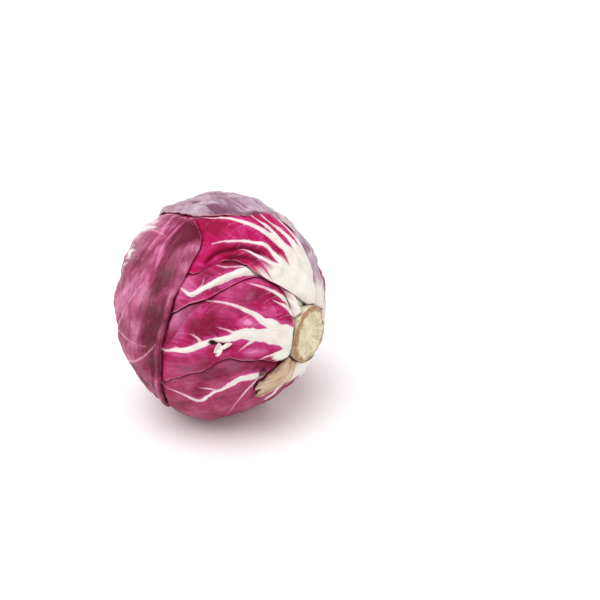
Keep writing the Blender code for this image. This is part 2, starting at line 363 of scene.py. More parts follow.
# Small helper that adds nodes to one material's tree and links them
class Nodes:
    def __init__(self, name):
        self.material = bpy.data.materials.new(name)
        self.material.use_nodes = True
        self.tree = self.material.node_tree
        self.shader = self.tree.nodes["Principled BSDF"]

    def put(self, socket, value):
        if isinstance(value, bpy.types.NodeSocket):
            self.tree.links.new(value, socket)
        else:
            socket.default_value = value

    def add(self, kind, out=0, settings=None, **inputs):
        node = self.tree.nodes.new(kind)
        for key, value in (settings or {}).items():
            setattr(node, key, value)
        for key, value in inputs.items():
            self.put(node.inputs[int(key[1:]) if key[0] == "i" and key[1:].isdigit() else key], value)
        return node.outputs[out]

    def math(self, operation, a, b=0.0, c=0.0):
        return self.add("ShaderNodeMath", settings={"operation": operation}, i0=a, i1=b, i2=c)

    def times(self, a, b):
        return self.math("MULTIPLY", a, b)

    # A base plus an amount times a noise's swing about its middle
    def swing(self, noise, amount, base):
        return self.math("MULTIPLY_ADD", self.math("SUBTRACT", noise, 0.5), amount, base)

    # Thin lines where a noise crosses its middle
    def lines(self, noise, width):
        return self.ramp(self.math("ABSOLUTE", self.math("SUBTRACT", noise, 0.5)), 0.0, width, 1.0, 0.0)

    # Smooth step of a value from one range to another
    def ramp(self, value, low, high, toLow=0.0, toHigh=1.0):
        return self.add("ShaderNodeMapRange", settings={"interpolation_type": "SMOOTHSTEP"},
                        i0=value, i1=low, i2=high, i3=toLow, i4=toHigh)

    def mix(self, share, a, b):
        node = self.tree.nodes.new("ShaderNodeMix")
        node.data_type = "RGBA"
        self.put(node.inputs[0], share)
        self.put(node.inputs[6], a)
        self.put(node.inputs[7], b)
        return node.outputs[2]

    def field(self, name):
        return self.add("ShaderNodeAttribute", out=2, settings={"attribute_name": name})

    def noise(self, vector, scale, detail=4.0, roughness=0.55):
        node = self.tree.nodes.new("ShaderNodeTexNoise")
        self.put(node.inputs["Vector"], vector)
        for key, value in (("Scale", scale), ("Detail", detail), ("Roughness", roughness)):
            node.inputs[key].default_value = value
        return node.outputs[0]

    def plain(self, **values):
        for key, value in values.items():
            self.shader.inputs[key.replace("_", " ")].default_value = value


ribWhite, ribPink = tone(0.90, 0.875, 0.85), tone(0.88, 0.62, 0.73)

# A leaf's look, where its own dictionary doesn't say otherwise
plainLook = {
    # glint: a painted highlight, the tone at the top of the blade's tint
    "glint": tone(0.92, 0.54, 0.75), "halo": tone(0.76, 0.27, 0.53), "thinRib": ribPink,
    "thickRib": ribWhite, "ribShade": tone(0.82, 0.79, 0.745), "foot": ribWhite,
    "footShade": tone(0.87, 0.85, 0.80), "edge": ribPink, "shadow": tone(0.32, 0.01, 0.12),
    # gap: a near-black painted shade, laid where the painted shade is deepest, as in hollows
    "gap": tone(0.13, 0.01, 0.05),
    "stretch": (0.16, 1.0, 1.0),  # scale of the streaks along and across the leaf; small draws them out
    "streakAmount": 2.0,   # share of the streaks and of the blotches in the blade's tone
    "blotch": 1.4,
    "crease": 0.45,        # strength of the dark creases, and their scale
    "creaseScale": 0.35,
    "net": 0.20,           # strength of the fine vein net
    "streak": 2.4,         # how far the white of the foot runs out in streaks
    "ribShow": 0.97,       # strength of the ribs' colour
    "edgeWidth": 0.6,      # the margin's line, in degrees, and its strength
    "edgeShow": 0.45,
    "roughness": 0.40, "soft": 0.03, "sheen": 0.02, "specular": 0.10,
    "wrinkle": 0.6,        # share of the wrinkles in the bump, and the strength of it all
    "bump": 0.6,
}


# Blade tone runs from deep through blade to bright and on to glint, a painted highlight, by the tint field
# and four noises; the tint field holds painted light and shade as well as colour. Over it go dark creases
# with painted shade in them, a fine vein net, bloom and painted sheen away from the ribs, a halo beside them,
# streaks of white at the foot, the ribs, the margin's line, the painted shade under other leaves and a
# near-black painted shade where it is deepest. Bump is wrinkles and grain, less the creases and the net
def leafMaterial(name, look):
    look = {**plainLook, **look}
    n = Nodes(name)
    here = n.add("ShaderNodeTexCoord", out=3)
    leafMap = n.add("ShaderNodeUVMap", settings={"uv_map": "LeafMap"})
    rib, size, tint, fan = n.field("rib"), n.field("ribSize"), n.field("tint"), n.field("fan")
    pale, bloomAndSheen, shade, edge = n.field("pale"), n.field("bloomAndSheen"), n.field("shade"), n.field("edge")
    patches = n.noise(here, 48.0, 5.0, 0.62)
    cloudy = n.noise(here, 85.0, 4.0, 0.6)
    blotches = n.noise(here, 120.0, 3.0, 0.5)
    grain = n.noise(here, 430.0, 4.0, 0.6)
    drawnOut = n.add("ShaderNodeMapping", i0=leafMap, i3=look["stretch"])
    streaks = n.noise(drawnOut, 0.6, 3.0, 0.55)

    level = n.swing(streaks, look["streakAmount"], n.swing(patches, 2.6, tint))
    level = n.swing(grain, 0.4, n.swing(blotches, look["blotch"], level))
    blade = n.mix(n.ramp(level, -0.9, 0.1), look["deep"], look["blade"])
    blade = n.mix(n.ramp(level, 0.0, 1.1), blade, look["bright"])
    blade = n.mix(n.ramp(level, 1.2, 2.4), blade, look["glint"])

    # Dark creases: noise lines that the bump sinks in, painted dark as shade inside them
    creases = n.lines(n.noise(drawnOut, look["creaseScale"], 4.0), 0.022)
    creases = n.times(creases, n.ramp(patches, 0.42, 0.6))
    blade = n.mix(n.times(creases, look["crease"]), blade, look["deep"])

    wander = n.add("ShaderNodeTexNoise", out=1, Vector=leafMap, Scale=0.35, Detail=2.0)
    warped = n.add("ShaderNodeVectorMath", settings={"operation": "MULTIPLY_ADD"},
                   i0=wander, i1=(2.6, 2.6, 0), i2=leafMap)
    cells = n.add("ShaderNodeTexVoronoi", settings={"feature": "DISTANCE_TO_EDGE"}, Vector=warped, Scale=0.26)
    net = n.times(n.ramp(cells, 0.0, 0.07, 1.0, 0.0), n.ramp(streaks, 0.4, 0.62))
    blade = n.mix(n.times(net, look["net"]), blade, look["bright"])

    # Bloom away from the ribs; on the plum and silver leaves this tone is a painted sheen
    bloomAndSheenShare = n.times(bloomAndSheen, n.ramp(cloudy, 0.3, 0.68, 0.3, 1.0))
    blade = n.mix(n.times(bloomAndSheenShare, n.ramp(rib, -7.0, -1.5, 1.0, 0.25)), blade, look["bloomAndSheen"])
    halo = n.times(n.ramp(n.swing(streaks, 3.0, rib), -3.6, 0.2), n.ramp(size, 0.1, 1.6, 0.08, 0.8))
    blade = n.mix(halo, blade, look["halo"])

    alongSlow = n.times(n.add("ShaderNodeSeparateXYZ", i0=leafMap), 0.035)
    fingers = n.noise(n.add("ShaderNodeCombineXYZ", i0=alongSlow, i1=fan), 0.16, 4.0, 0.65)
    paleShare = n.ramp(n.swing(fingers, look["streak"], pale), 0.30, 0.80)
    foot = n.mix(n.ramp(patches, 0.35, 0.7, 0.0, 0.6), look["foot"], look["footShade"])
    blade = n.mix(n.times(paleShare, n.ramp(pale, 0.0, 0.25)), blade, foot)

    ribTone = n.mix(n.ramp(size, 0.2, 1.1), look["thinRib"], look["thickRib"])
    blush = n.times(n.ramp(streaks, 0.45, 0.75, 0.0, 0.5), n.ramp(rib, 0.0, 1.6, 1.0, 0.1))
    ribTone = n.mix(blush, ribTone, ribPink)
    ribTone = n.mix(n.ramp(pale, 0.05, 0.7), ribTone, look["foot"])
    ribTone = n.mix(n.ramp(blotches, 0.42, 0.68, 0.0, 0.55), ribTone, look["ribShade"])
    ribShare = n.ramp(n.swing(grain, 0.7, rib), -0.25, 0.30)
    ribShow = n.times(n.ramp(size, 0.08, 0.5, 0.28, 1.0), look["ribShow"])
    colour = n.mix(n.times(ribShare, ribShow), blade, ribTone)

    edgeLine = n.times(n.ramp(edge, 0.15, look["edgeWidth"], 1.0, 0.0), look["edgeShow"])
    colour = n.mix(n.times(edgeLine, n.ramp(cloudy, 0.35, 0.62, 0.15, 1.0)), colour, look["edge"])
    colour = n.mix(shade, colour, look["shadow"])
    # Near-black painted shade where the shade field is deepest, which is the hollow under the torn curls
    colour = n.mix(n.ramp(shade, 0.93, 0.99), colour, look["gap"])
    n.put(n.shader.inputs["Base Color"], colour)

    rough = n.ramp(grain, 0.3, 0.7, look["roughness"] - 0.06, look["roughness"] + 0.08)
    n.put(n.shader.inputs["Roughness"], n.math("MULTIPLY_ADD", bloomAndSheen, 0.18, rough))
    n.plain(Subsurface_Weight=look["soft"], Subsurface_Radius=(0.0030, 0.0012, 0.0010), Subsurface_Scale=1.0,
            Sheen_Weight=look["sheen"], Sheen_Roughness=0.4, Sheen_Tint=tone(0.95, 0.88, 0.93),
            Specular_IOR_Level=look["specular"])
    relief = n.math("MULTIPLY_ADD", n.noise(drawnOut, 2.0, 5.0, 0.65), look["wrinkle"], n.times(grain, 0.3))
    relief = n.math("MULTIPLY_ADD", net, -0.2, n.math("MULTIPLY_ADD", creases, -0.35, relief))
    bump = n.add("ShaderNodeBump", Height=relief, Distance=0.0006, Strength=look["bump"])
    n.put(n.shader.inputs["Normal"], bump)
    return n.material


magentaLook = {
    "deep": tone(0.47, 0.0, 0.16), "blade": tone(0.65, 0.05, 0.31), "bright": tone(0.76, 0.32, 0.53),
    "bloomAndSheen": tone(0.73, 0.45, 0.60), "specular": 0.08,
}
# The plum leaf's near-white bloom tone is a painted silver sheen
plumLook = {
    "deep": tone(0.37, 0.01, 0.15), "blade": tone(0.56, 0.16, 0.33), "bright": tone(0.74, 0.40, 0.55),
    "bloomAndSheen": tone(0.90, 0.85, 0.87), "halo": tone(0.68, 0.34, 0.48), "thinRib": tone(0.88, 0.58, 0.64),
    "thickRib": tone(0.88, 0.66, 0.70), "ribShade": tone(0.82, 0.56, 0.60), "foot": tone(0.86, 0.81, 0.82),
    "edge": tone(0.78, 0.42, 0.50), "ribShow": 0.75, "edgeShow": 0.6, "roughness": 0.42, "sheen": 0.05,
    "specular": 0.15, "stretch": (0.55, 0.16, 1.0), "streakAmount": 2.2, "crease": 0.7, "net": 0.1,
    "bump": 0.8,
}
# The top leaf's silvery greys are a painted sheen, a glancing reflection of the bright surroundings
silverSheenLook = {
    "deep": tone(0.50, 0.30, 0.40), "blade": tone(0.70, 0.57, 0.64), "bright": tone(0.82, 0.73, 0.77),
    "bloomAndSheen": tone(0.77, 0.69, 0.74), "halo": tone(0.76, 0.62, 0.68), "thinRib": tone(0.82, 0.72, 0.76),
    "edge": tone(0.86, 0.56, 0.60), "edgeShow": 0.85, "edgeWidth": 0.9, "ribShow": 0.5, "roughness": 0.48,
    "sheen": 0.30, "specular": 0.35, "wrinkle": 1.3, "bump": 1.0, "net": 0.1, "streakAmount": 3.2,
    "crease": 0.95, "creaseScale": 0.55,
}
crownLook = dict(magentaLook, deep=tone(0.55, 0.0, 0.20), blade=tone(0.68, 0.0, 0.30),
                 bright=tone(0.75, 0.24, 0.50), specular=0.05, net=0.12)
lowLook = dict(magentaLook, deep=tone(0.44, 0.05, 0.19), blade=tone(0.60, 0.18, 0.32),
               bright=tone(0.68, 0.32, 0.44), blotch=2.2)
dryLook = {
    "deep": tone(0.60, 0.45, 0.36), "blade": tone(0.80, 0.68, 0.58), "bright": tone(0.88, 0.80, 0.72),
    "bloomAndSheen": tone(0.8, 0.72, 0.64), "halo": tone(0.72, 0.55, 0.45), "thinRib": tone(0.86, 0.8, 0.72),
    "foot": tone(0.80, 0.70, 0.58), "edge": tone(0.50, 0.34, 0.25), "edgeShow": 0.7, "ribShow": 0.3,
    "roughness": 0.65, "wrinkle": 1.8, "bump": 1.0, "soft": 0.0, "streakAmount": 4.0, "crease": 0.8,
    "stretch": (0.10, 1.0, 1.0),
}

# What an outer leaf has where its own dictionary doesn't say otherwise
plainLeaf = {
    "slot": "magenta_leaf",
    "grid": (230, 170),
    "thickness": 0.0005,
    "ruffle": 0.7,         # waves of the margins, in degrees
    "edgeLift": 0.3,       # how far a bare margin stands up, in mm
    "crumple": 1.0,        # share of the crumples
    "dome": 0.0,           # rise of the blade's middle, in mm
    "midrib": 4.2,         # half-width of a grown midrib
    "shadow": (0.8, 0.35),  # shade thrown past the margin: width in degrees and strength
    "deepest": 0.9,        # the most shade that lies on it
    "grown": False, "ribs": [], "lifts": {}, "folds": [], "marks": {}, "swells": [],
}
plainSide = [(16, 16), (34, 34), (52, 42), (70, 42), (86, 38), (103, 28), (120, 10)]

# The outer leaves, outermost first. Azimuth is where a leaf's midrib lies round the stem's axis: 0 at the top
# and 90 towards -Y. Everything on the leaf is placed by degrees along from that axis and degrees across the
# midrib, plus to its right, which are close to millimetres.
# right, left: (along, half-width) of each margin. end: (share across, along) of the far margin
# pale: where the white of the foot starts and stops fading. grown: adds a midrib and side ribs by rule
# ribs: paths of (along, across, half-width). lifts: the height of a rib by its number in that list
# folds: depth of the groove in mm (below 0 it is a ridge) and its half-width, step up to its left, tint to
# its left and right, and the reach of that tint. That tint is painted light and shade, mostly lighter beside
# ridges and darker beside grooves
# marks: (along, across, reach along, reach across, amount) added to tint, bloomAndSheen, pale or shade; some
# of them are painted highlights, painted sheen and painted shade
# swells: (along, across, radius, height in mm). lip: a rolled end. rubbed: a foot with its bloom wiped off
outerLeaves = [
    {
        "name": "torn_base", "node": "torn_leaf_base", "slot": "dry_leaf_base", "azimuth": 133,
        "length": 42, "seed": 5, "ruffle": 1.3, "grid": (90, 70), "thickness": 0.0011,
        "look": dryLook, "pale": (0, 1), "bloomAndSheenAmount": 0.0, "shadow": (2.5, 0.7), "dome": 2.6,
        "right": [(16, 5), (25, 7), (34, 7), (42, 5)],
        "left": [(16, 5), (25, 7), (34, 6), (42, 4)],
        "end": [(-1, 36), (-0.7, 40), (-0.45, 37), (-0.2, 43), (0.05, 39), (0.3, 42), (0.6, 36),
            (0.8, 39), (1, 33)],
    },
    {
        "name": "leaf_under", "slot": "plum_leaf", "azimuth": 190, "length": 150, "seed": 10,
        "look": lowLook, "pale": (16, 40), "bloomAndSheenAmount": 0.35, "grown": True,
        "right": [(16, 11), (38, 24), (61, 36), (83, 42), (105, 42), (128, 36), (150, 14)],
        "left": [(16, 11), (38, 14), (50, 19), (58, 27), (66, 33), (83, 35), (105, 32), (128, 24),
            (150, 12)],
    },
    {
        "name": "leaf_rear", "slot": "plum_leaf", "azimuth": 228, "length": 145, "seed": 20,
        "look": magentaLook, "pale": (16, 46), "bloomAndSheenAmount": 0.45, "grown": True,
        "right": [(16, 11), (38, 26), (59, 40), (80, 44), (102, 42), (124, 34), (145, 14)],
        "left": [(16, 11), (38, 24), (59, 36), (80, 40), (102, 40), (124, 30), (145, 12)],
    },
    {
        "name": "leaf_top", "slot": "silver_leaf", "azimuth": 330, "length": 152, "seed": 30,
        "ruffle": 0.4,
        "look": silverSheenLook, "pale": (16, 40), "bloomAndSheenAmount": 0.6, "crumple": 1.8, "grown": True,
        "right": [(16, -4), (30, -9), (45, -6), (58, -1), (65, 4), (69, 12), (70, 20), (73, 26.5),
            (78, 32), (84, 37), (91, 41), (97, 41.5), (107, 39.5), (116, 35.5), (128, 28), (152, 9)],
        "left": [(16, 13), (39, 26), (61, 38), (84, 46), (107, 46), (129, 36), (152, 12)],
        "folds": [
            {"path": [(91, 37), (88, 32), (84, 27), (79, 25), (75, 24), (71, 19), (69, 10)], "depth": 0.6,
                "half": 0.8, "tint": (-2.2, 0.2), "reach": 6.0},
            {"path": [(114, 31), (103, 32), (94, 29), (87, 22), (82, 12)], "depth": 0.7, "half": 0.6,
                "tint": (-1.3, -0.5), "reach": 1.2},
            {"path": [(118, 22), (106, 22), (95, 17), (87, 8), (82, -2)], "depth": 0.7, "half": 0.7,
                "tint": (-1.1, -0.4), "reach": 1.4},
            {"path": [(104, 38), (98, 37), (93, 35), (88, 30)], "depth": 0.5, "half": 0.5,
                "tint": (-1.2, 0.3), "reach": 1.0},
        ],
        # These marks take the painted sheen off the dark sliver under its lower margin
        "marks": {"bloomAndSheen": [(79, 30, 8, 4.5, -1), (87, 36, 4, 3, -0.8)]},
        "swells": [(126, 28, 7, 2.2)],
    },
    {
        "name": "leaf_tip", "slot": "plum_leaf", "azimuth": 265, "length": 280, "seed": 40,
        "ruffle": 0.35, "grid": (300, 150),
        "look": plumLook, "pale": (16, 44), "bloomAndSheenAmount": 0.07, "shadow": (1.6, 0.75), "crumple": 1.3,
        "grown": True,
        "right": [(16, 11), (60, 34), (104, 52), (148, 62), (192, 66), (236, 70), (280, 70)],
        "left": [(16, 11), (60, 32), (104, 50), (148, 58), (192, 62), (280, 60)],
        "end": [(-1, 262), (-0.8, 268), (-0.6, 272), (-0.4, 275), (-0.2, 277), (0, 278), (0.2, 280),
            (0.4, 282), (0.6, 286), (0.8, 289), (0.9, 285), (1, 270)],
        "ribs": [
            [(112, 3, 1.1), (130, 24, 1), (150, 40, 0.9), (170, 50, 0.7), (193, 57, 0.5), (230, 67, 0.42),
                (250, 69, 0.42), (262, 70, 0.3)],
            [(124, 3, 1), (136, 17, 0.9), (150, 30, 0.8), (180, 40, 0.7), (205, 49, 0.5), (228, 52, 0.4),
                (246, 55, 0.45), (259, 54, 0.3)],
            [(126, 1, 1), (138, -7, 0.9), (150, -14, 0.9), (185, -18, 0.7), (225, -18, 0.5),
                (260, -12, 0.6), (268, -6, 0.42), (275, 3, 0.3)],
            [(140, 3, 1.2), (160, 18, 1), (200, 28, 0.5), (223, 33, 0.3), (250, 39, 0.2)],
        ],
        "folds": [
            {"path": [(232, 68), (240, 62), (248, 55), (250, 44)], "depth": -0.9, "half": 0.8,
                "tint": (1.8, 1.4), "reach": 0.9},
            {"path": [(262, 71), (262, 61), (260, 53), (263, 44), (266, 34)], "depth": -1.0, "half": 0.8,
                "tint": (1.9, 1.5), "reach": 0.9},
            {"path": [(214, 62), (224, 56), (228, 50), (230, 44), (232, 38), (237, 30)], "depth": 0.5,
                "half": 0.6, "tint": (-0.6, -0.3), "reach": 1.4},
            {"path": [(268, 40), (271, 28), (275, 14), (273, 4), (270, -6)], "depth": 0.5, "half": 1.6,
                "tint": (-0.5, -0.4)},
            {"path": [(266, 36), (264, 28), (268, 16), (266, 4), (263, -8)], "depth": -0.6, "half": 1.6,
                "tint": (0.2, 0)},
            {"path": [(222, 33), (232, 36), (242, 38), (252, 38)], "depth": 0.6, "half": 0.6,
                "tint": (-0.5, 0.3)},
            {"path": [(277, 50), (272, 40), (271, 30), (270, 22)], "depth": 0.5, "half": 0.5,
                "tint": (-0.6, -0.5)},
        ],
        # The pale and bloom marks from along 207 to 230 paint a silver sheen. Its tint marks are partly its
        # own blotches and partly painted highlight and painted shade
        "marks": {
            "tint": [(262, 29, 6, 9, 0.9), (248, 20, 8, 9, 0.9), (257, 9, 7, 9, 0.7), (264, 1, 4, 7, 0.5),
                (274, 13, 4, 10, -1.2), (270, 2, 3, 9, -0.8), (269, 23, 3, 7, -0.7),
                (264, 64, 5, 5, -1.2), (268, 55, 5, 5, -1.2), (276, 61, 5, 5, -1.1),
                (222, 56, 12, 8, 0.9), (230, 42, 8, 6, 0.6), (257, 44, 5, 5, 0.7),
                (268, -16, 5, 8, -0.2)],
            "pale": [(213, 53, 14, 9, 0.62), (221, 41, 9, 8, 0.6), (229, 31, 6, 6, 0.5)],
            "bloomAndSheen": [(207, 54, 13, 10, 1), (220, 46, 9, 8, 0.95), (230, 37, 7, 7, 0.85),
                (265, 62, 9, 8, -0.3), (258, 26, 7, 8, 0.12)],
        },
        "swells": [(224, 48, 9, 1.6)],
        "lip": {"radius": 1.45, "height": 1.9, "from": -60, "to": 33, "fade": 10},
    },
    {
        "name": "leaf_crown", "azimuth": 352, "length": 135, "seed": 50, "ruffle": 0.35,
        "look": crownLook, "pale": (30, 56), "bloomAndSheenAmount": 0.08, "shadow": (1.4, 0.5), "edgeLift": 0.7,
        "right": [(16, -1), (28, 10), (36, 18), (42, 23), (51, 26), (58, 31), (62, 38), (65, 46),
            (72, 50), (88, 50), (108, 38), (135, 12)],
        "left": [(16, 14), (36, 26), (56, 36), (75, 44), (95, 46), (115, 36), (135, 12)],
        "ribs": [
            [(16, -7, 6), (30, -6, 4.5), (45, -4, 3.4), (52, -1, 2.5), (57, 2, 2), (64, 6, 1.5),
                (69, 9, 1.3), (74, 11.5, 1), (79, 14, 0.8), (89, 18, 0.5), (100, 22, 0.3)],
            [(16, -9, 4), (40, -6, 2.8), (53, -2, 1.7), (61, -1, 1.1), (67, 1, 0.6), (74, 1, 0.3)],
            [(16, -12, 3), (40, -12, 2.4), (50, -10, 1.6), (55, -8.4, 1.3), (63, -5.3, 0.7),
                (70, -5, 0.3)],
            [(30, -18, 3), (45, -16, 1.7), (58, -14, 0.9), (72, -12, 0.3)],
            [(16, -5, 4.5), (36, 3, 3), (46, 7, 1.8), (52, 8, 1.3), (59, 15, 0.9), (63, 20, 0.75),
                (69, 27, 0.5), (72, 31, 0.3)],
            [(16, -3, 4), (28, 4, 2.5), (35, 6.5, 1.7), (39, 8, 1.4), (43, 12, 1.1), (50, 17, 0.9),
                (55, 19, 0.7), (60, 23, 0.3)],
        ],
        "lifts": {5: 1.1},
        "folds": [
            {"path": [(46, 11), (52, 15), (56, 18), (59, 21), (62, 26), (65, 32), (66, 38), (64, 45)],
                "depth": 1.2, "half": 0.9, "step": 0.6, "tint": (-0.9, 0.1), "reach": 3.0},
            {"path": [(45, 19), (50, 21), (56, 26), (60, 33)], "depth": 0.9, "half": 1.2,
                "tint": (-0.9, -0.7)},
        ],
        "marks": {
            "tint": [(78, 22, 12, 9, -0.7), (64, 29, 5, 4, -0.8), (58, 28, 4, 4, -0.7),
                (45, 18, 7, 3, 0.9), (52, 23, 5, 2, 0.6), (37, 15, 6, 3, 0.3), (70, 2, 6, 4, -0.4)],
            "bloomAndSheen": [(66, 17, 6, 6, 0.35), (45, 18, 8, 4, 0.6), (72, -3, 5, 4, 0.3)],
        },
        "swells": [(43, 21, 5, 1.3)],
    },
    {
        "name": "leaf_folded", "azimuth": 40, "length": 120, "seed": 60, "ruffle": 0.25,
        "look": magentaLook, "pale": (12, 38), "bloomAndSheenAmount": 0.25, "shadow": (1.6, 0.65),
        "edgeLift": 1.2,
        "right": [(16, -2), (33, -14), (50, -7), (58, 3), (63, 10), (71, 17), (79, 25), (90, 31),
            (105, 33), (120, 14)],
        "left": [(16, 10), (33, 26), (51, 34), (68, 36), (85, 34), (103, 28), (120, 10)],
        "ribs": [
            [(40, -20, 2.4), (48, -13, 2.3), (52, -9.5, 2.1), (56, -6, 1.9), (62, 1, 1.6), (68, 8, 1.2),
                (72, 13, 1), (78, 12, 0.6), (92, 15, 0.3)],
            [(71, 11, 0.5), (69, 6, 0.35), (70, 2, 0.15)],
            [(52, -13, 0.5), (58, -9, 0.4), (64, -6, 0.4), (70, -5, 0.2)],
        ],
        "lifts": {0: 1.4},
        "folds": [
            {"path": [(49, -19), (55, -15), (61, -11), (67, -8)], "depth": 1.0, "half": 1.6,
                "tint": (-0.8, -0.8)},
        ],
        "marks": {
            # The long dark mark at (62, 6) paints shade in the strip between the midrib and the margin
            "tint": [(79, 11, 6, 7, 1.5), (72, -3, 7, 6, -0.6), (62, 6, 10, 2.5, -1)],
            "bloomAndSheen": [(79, 8, 7, 8, 0.6), (73, 2, 5, 5, 0.3)],
        },
    },
    {
        "name": "leaf_front", "azimuth": 75, "length": 128, "seed": 70, "ruffle": 0.3,
        "look": magentaLook, "pale": (6, 22), "bloomAndSheenAmount": 0.3, "shadow": (2.3, 0.85), "edgeLift": 0.8,
        "deepest": 1.0,
        "right": [(16, 13), (22, 12), (32, 10), (41, 10), (48, 9), (55, 13), (60, 17), (67, 21), (78, 27),
            (91, 32), (109, 30), (128, 12)],
        "left": [(16, 31), (25, 38), (35, 43), (53, 46), (72, 46), (91, 44), (109, 32), (128, 12)],
        "ribs": [
            [(8, -1, 6), (16, -1.5, 5), (28, -3, 3.7), (36, -4, 3.2), (43, -4, 2.7), (49, -2, 1.9),
                (55, 0, 1.4), (62, 3, 1.5), (72, 8, 1.2), (76, 8.5, 0.9), (82, 10, 0.7), (96, 12, 0.4)],
            [(18, -5, 3), (28, -9, 2.3), (33, -11, 1.8), (37, -14, 1.3), (42, -16, 1), (46, -17.5, 0.8),
                (54, -19, 0.6), (63, -19, 0.35)],
            [(10, -14, 2.2), (16, -20, 1.5), (22, -24, 1), (29, -27, 0.7), (42, -30, 0.25)],
            [(10, -10, 1.8), (18, -17, 1), (26, -21, 0.3)],
            [(46, -4, 0.8), (50, -5.5, 0.5), (57, -7, 0.15)],
            [(62, 3, 0.8), (65, 0, 0.5), (69, -1.5, 0.2)],
            [(65, 5, 0.7), (67, 7, 0.35), (69, 10, 0.12)],
            [(37, -1, 0.9), (41, 2, 0.4), (45, 6, 0.12)],
            [(14, 3, 2.2), (20, 5, 1.4), (25, 7, 0.7), (31, 10, 0.3)],
        ],
        "folds": [
            {"path": [(62, -20), (66, -16), (71, -10), (75, -1), (80, 9)], "depth": -0.35, "half": 0.7,
                "step": 0.5, "tint": (-0.5, 0.9)},
            {"path": [(30, 9), (41, 9), (48, 8), (55, 12)], "depth": -0.8, "half": 2.2,
                "tint": (0.3, -0.3)},
        ],
        # The tint marks of 2 and 1.6 reach the glint, painted highlights; the shade marks paint the dark
        # hollow under the torn curls
        "marks": {
            "tint": [(62, -8, 7, 7, -0.9), (68, -5, 5, 5, -0.6), (53, -11, 5, 5, -0.2),
                (41, -10.5, 4.5, 2.2, 2), (45, -23, 10, 6, -0.2), (22, -17, 7, 5, -0.2),
                (36, 5, 5.5, 1.7, 1.6), (29, -14, 5, 4, 0.7), (71, 20, 9, 7, -0.4), (60, 12, 6, 3, -0.4)],
            "bloomAndSheen": [(50, -16, 8, 5, 0.75), (45, -25, 11, 7, 0.7), (80, -12, 6, 10, 0.7),
                (71, 19, 10, 7, 0.35), (61, 11, 7, 5, 0.2)],
            "pale": [(10, -17, 7, 6, 0.9), (18, 8, 7, 4, 0.9)],
            "shade": [(57.2, 1.4, 2.1, 1.3, 1.6), (53.5, 1.4, 3.5, 0.7, 0.85), (52, 4, 3.5, 2.4, 0.6)],
        },
        "swells": [(57.6, 1.2, 1.6, -0.8)],
        "rubbed": {"to": 27, "across": -8, "soft": 4, "brightAcross": -28, "brightTo": 44},
    },
    {
        "name": "leaf_low", "azimuth": 115, "length": 125, "seed": 80,
        "look": lowLook, "pale": (0, 8), "bloomAndSheenAmount": 0.25,
        "right": [(16, 16), (34, 26), (52, 38), (71, 44), (89, 44), (107, 34), (125, 12)],
        "left": [(16, 14), (34, 26), (52, 34), (71, 36), (89, 36), (107, 28), (125, 12)],
        "ribs": [
            [(33, -1, 2.2), (38, -3, 2.6), (43, -5, 2.5), (49, -3.5, 1.9), (55, -1.5, 1.2), (58, -1, 1),
                (63, 2, 1), (67, 4.5, 1.1), (75, -1, 0.6), (85, -6, 0.35), (100, -8, 0.2)],
            [(33, 0, 1), (41, 5, 0.6), (48, 11, 0.4), (56, 21, 0.3), (63, 32, 0.15)],
            [(57, -1, 0.6), (61, -4, 0.5), (67, -6, 0.15)],
        ],
        "lifts": {0: 0.9},
        "folds": [
            {"path": [(29, -6), (33, -3), (36, 3)], "depth": 0.9, "half": 1.3, "tint": (-1, -1)},
            {"path": [(42, -16), (54, -15), (66, -8), (72, 0)], "depth": 0.5, "half": 1.4,
                "tint": (-0.3, -0.5)},
        ],
        # The tint marks of -1.1 paint shade under the front leaf's margin and near the foot, and the shade
        # mark paints a dark hollow at the midrib's foot
        "marks": {
            "tint": [(26, -4, 8, 14, -1.1), (58, -9, 8, 4, 0.3), (44, -14, 10, 4, -1.1),
                (60, 10, 9, 8, 0.3), (52, 16, 10, 8, 0.2), (34, 10, 4, 6, -0.8)],
            "bloomAndSheen": [(50, -15, 10, 4, 0.3)],
            "shade": [(32, -2.5, 2.4, 3, 0.84)],
        },
    },
    {
        "name": "leaf_far", "azimuth": 300, "length": 120, "seed": 90, "grid": (150, 110),
        "look": magentaLook, "pale": (22, 50), "bloomAndSheenAmount": 0.15, "grown": True,
        "right": plainSide, "left": plainSide,
    },
    {
        "name": "leaf_hidden", "azimuth": 155, "length": 120, "seed": 100, "grid": (150, 110),
        "look": dict(magentaLook, deep=tone(0.38, 0.0, 0.14), blade=tone(0.55, 0.02, 0.22)),
        "pale": (16, 26), "bloomAndSheenAmount": 0.0, "grown": True,
        "right": plainSide, "left": plainSide,
    },
]

outerLeaves = [{**plainLeaf, **leaf} for leaf in outerLeaves]

layering = {
    "pitch": 0.00095,      # one leaf's thickness and the air under it
    "rise": 5.0,           # degrees over which a leaf comes up past a margin that lies on it
    "smooth": 2.2,         # degrees past such a margin that have less relief
    "pucker": 0.0007,      # blade swelling between the ribs
    "fleshy": 0.0013,      # swelling of the feet
    # crumples, each with its height and size in metres: broad swells, dimples, sharp crests, sharp gullies
    "crumples": [(0.00038, 0.024), (0.00014, 0.009), (0.00042, 0.021), (0.00016, 0.011)],
    "foldFade": 0.18,      # share of a fold's length over which each end fades
    "shadedFold": 0.8,     # folds deeper than this are shaded inside
}
